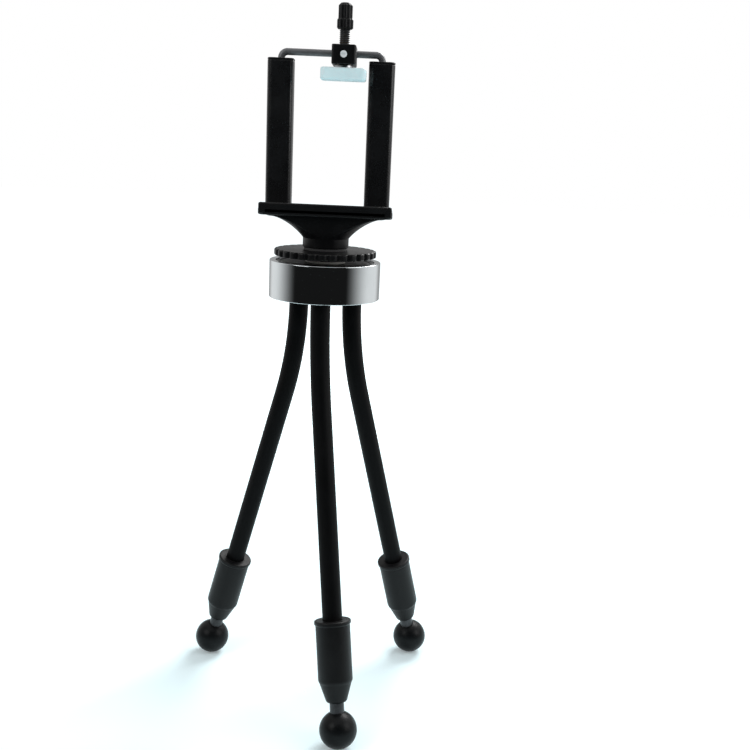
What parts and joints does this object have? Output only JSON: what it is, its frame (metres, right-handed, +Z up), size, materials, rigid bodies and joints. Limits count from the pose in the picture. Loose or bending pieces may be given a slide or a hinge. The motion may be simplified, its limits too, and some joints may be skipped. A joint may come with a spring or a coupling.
{
  "type": "phone tripod",
  "caption": "Small tripod with bendable rubber-skinned legs, ball feet, a round hub and a spring clamp with a thumb screw that holds a phone between its ledge and pad.",
  "frame": {"origin": "on the floor, at the middle of the footprint of the three feet", "axes": "+Z up, along the hub's axis; -Y towards the front leg, the side on which the phone lies; +X to the right seen from the front"},
  "size_m": [0.1042, 0.0935, 0.2773],
  "materials": {
    "moulded_black": "semi-gloss moulded",
    "chrome": "polished",
    "rail_black": "satin black",
    "steel": "satin",
    "spring_steel": "drawn wire",
    "brass": "turned",
    "nylon": "natural",
    "grip_rubber": "matte",
    "pale_rubber": "soft, translucent pale blue",
    "ferrule_black": "black oxide",
    "leg_rubber": "smooth matte",
    "wire": "drawn wire",
    "sleeve_grey": "satin",
    "ball_rubber": "smooth"
  },
  "bodies": {
    "hub": {"hub_body": "moulded_black", "hub_collar": "chrome", "bottom_plate": "moulded_black", "plate_screws": "steel", "leg_ferrules": "ferrule_black", "spindle_bush": "brass", "thrust_washer": "nylon"},
    "platform": {"platform_wheel": "moulded_black", "mount_screw": "steel", "grip_washer": "grip_rubber"},
    "clamp": {"clamp_base": "moulded_black", "threaded_insert": "brass", "ledge_pad": "grip_rubber", "left_rail": "rail_black", "right_rail": "rail_black", "rail_caps": "moulded_black", "rail_screws": "steel", "left_bail_spring": "spring_steel", "right_bail_spring": "spring_steel"},
    "bail": {"bail": "steel", "bail_stops": "steel", "nut_block": "moulded_black", "thumb_nut": "brass", "nut_lock_screw": "steel"},
    "pad": {"pad_swivel": "steel", "pressure_pad": "pale_rubber"},
    "thumb_screw": {"thumb_screw": "ferrule_black", "screw_knob": "moulded_black"},
    "left_leg_1": {"left_skin_1": "leg_rubber", "left_core_1": "wire"},
    "left_leg_2": {"left_skin_2": "leg_rubber", "left_core_2": "wire"},
    "left_leg_3": {"left_skin_3": "leg_rubber", "left_core_3": "wire"},
    "left_leg_4": {"left_skin_4": "leg_rubber", "left_stud": "ferrule_black", "left_sleeve": "sleeve_grey", "left_ball": "ball_rubber"},
    "front_leg_1": {"front_skin_1": "leg_rubber", "front_core_1": "wire"},
    "front_leg_2": {"front_skin_2": "leg_rubber", "front_core_2": "wire"},
    "front_leg_3": {"front_skin_3": "leg_rubber", "front_core_3": "wire"},
    "front_leg_4": {"front_skin_4": "leg_rubber", "front_stud": "ferrule_black", "front_sleeve": "sleeve_grey", "front_ball": "ball_rubber"},
    "right_leg_1": {"right_skin_1": "leg_rubber", "right_core_1": "wire"},
    "right_leg_2": {"right_skin_2": "leg_rubber", "right_core_2": "wire"},
    "right_leg_3": {"right_skin_3": "leg_rubber", "right_core_3": "wire"},
    "right_leg_4": {"right_skin_4": "leg_rubber", "right_stud": "ferrule_black", "right_sleeve": "sleeve_grey", "right_ball": "ball_rubber"}
  },
  "joints": [
    {"name": "wheel_turn", "type": "hinge", "parent": "hub", "child": "platform", "pos_m": [0.0023, 0.00991, 0.18352], "axis": [0, 0, 1], "continuous": true},
    {"name": "clamp_swivel", "type": "hinge", "parent": "platform", "child": "clamp", "pos_m": [0.0023, 0.00991, 0.18699], "axis": [0, 0, 1], "continuous": true},
    {"name": "bail_slide", "type": "slide", "parent": "clamp", "child": "bail", "axis": [0, 0, 1], "range_m": [0, 0.03], "stiffness_N_per_m": 300, "springref_m": -0.015, "deforming": ["left_bail_spring", "right_bail_spring"]},
    {"name": "pad_travel", "type": "slide", "parent": "bail", "child": "pad", "axis": [0, 0, -1], "range_m": [0, 0.005]},
    {"name": "screw_turn", "type": "hinge", "parent": "pad", "child": "thumb_screw", "pos_m": [0.0073, 0.00461, 0.25399], "axis": [0, 0, -1], "range_deg": [0, 2571.43]},
    {"name": "left_splay", "type": "hinge", "parent": "hub", "child": "left_leg_1", "pos_m": [-0.00816, 0.01658, 0.16511], "axis": [0.373, 0.9278, 0], "range_deg": [-8, 24]},
    {"name": "left_swing", "type": "hinge", "parent": "left_leg_1", "child": "left_leg_2", "pos_m": [-0.00945, 0.0171, 0.14518], "axis": [-0.9188, 0.3694, 0.1392], "range_deg": [-24, 24]},
    {"name": "left_knee_splay", "type": "hinge", "parent": "left_leg_2", "child": "left_leg_3", "pos_m": [-0.01331, 0.01865, 0.12563], "axis": [0.373, 0.9278, 0], "range_deg": [-8, 24]},
    {"name": "left_knee_swing", "type": "hinge", "parent": "left_leg_3", "child": "left_leg_4", "pos_m": [-0.02456, 0.02317, 0.08334], "axis": [-0.8919, 0.3585, 0.2756], "range_deg": [-24, 24]},
    {"name": "front_splay", "type": "hinge", "parent": "hub", "child": "front_leg_1", "pos_m": [0.00176, -0.00247, 0.16511], "axis": [-0.9367, -0.3502, 0], "range_deg": [-8, 24]},
    {"name": "front_swing", "type": "hinge", "parent": "front_leg_1", "child": "front_leg_2", "pos_m": [0.00225, -0.00378, 0.14518], "axis": [0.3468, -0.9276, 0.1392], "range_deg": [-24, 24]},
    {"name": "front_knee_splay", "type": "hinge", "parent": "front_leg_2", "child": "front_leg_3", "pos_m": [0.0037, -0.00767, 0.12563], "axis": [-0.9367, -0.3502, 0], "range_deg": [-8, 24]},
    {"name": "front_knee_swing", "type": "hinge", "parent": "front_leg_3", "child": "front_leg_4", "pos_m": [0.00795, -0.01903, 0.08334], "axis": [0.3366, -0.9004, 0.2756], "range_deg": [-24, 24]},
    {"name": "right_splay", "type": "hinge", "parent": "hub", "child": "right_leg_1", "pos_m": [0.0133, 0.01564, 0.16511], "axis": [0.6032, -0.7976, 0], "range_deg": [-8, 24]},
    {"name": "right_swing", "type": "hinge", "parent": "right_leg_1", "child": "right_leg_2", "pos_m": [0.01441, 0.01648, 0.14518], "axis": [0.7898, 0.5973, 0.1392], "range_deg": [-24, 24]},
    {"name": "right_knee_splay", "type": "hinge", "parent": "right_leg_2", "child": "right_leg_3", "pos_m": [0.01773, 0.01899, 0.12563], "axis": [0.6032, -0.7976, 0], "range_deg": [-8, 24]},
    {"name": "right_knee_swing", "type": "hinge", "parent": "right_leg_3", "child": "right_leg_4", "pos_m": [0.0274, 0.0263, 0.08334], "axis": [0.7667, 0.5798, 0.2756], "range_deg": [-24, 24]}
  ],
  "couplings": [
    {"joint": "screw_turn", "follows": "pad_travel", "rad_per_m": 8976}
  ]
}
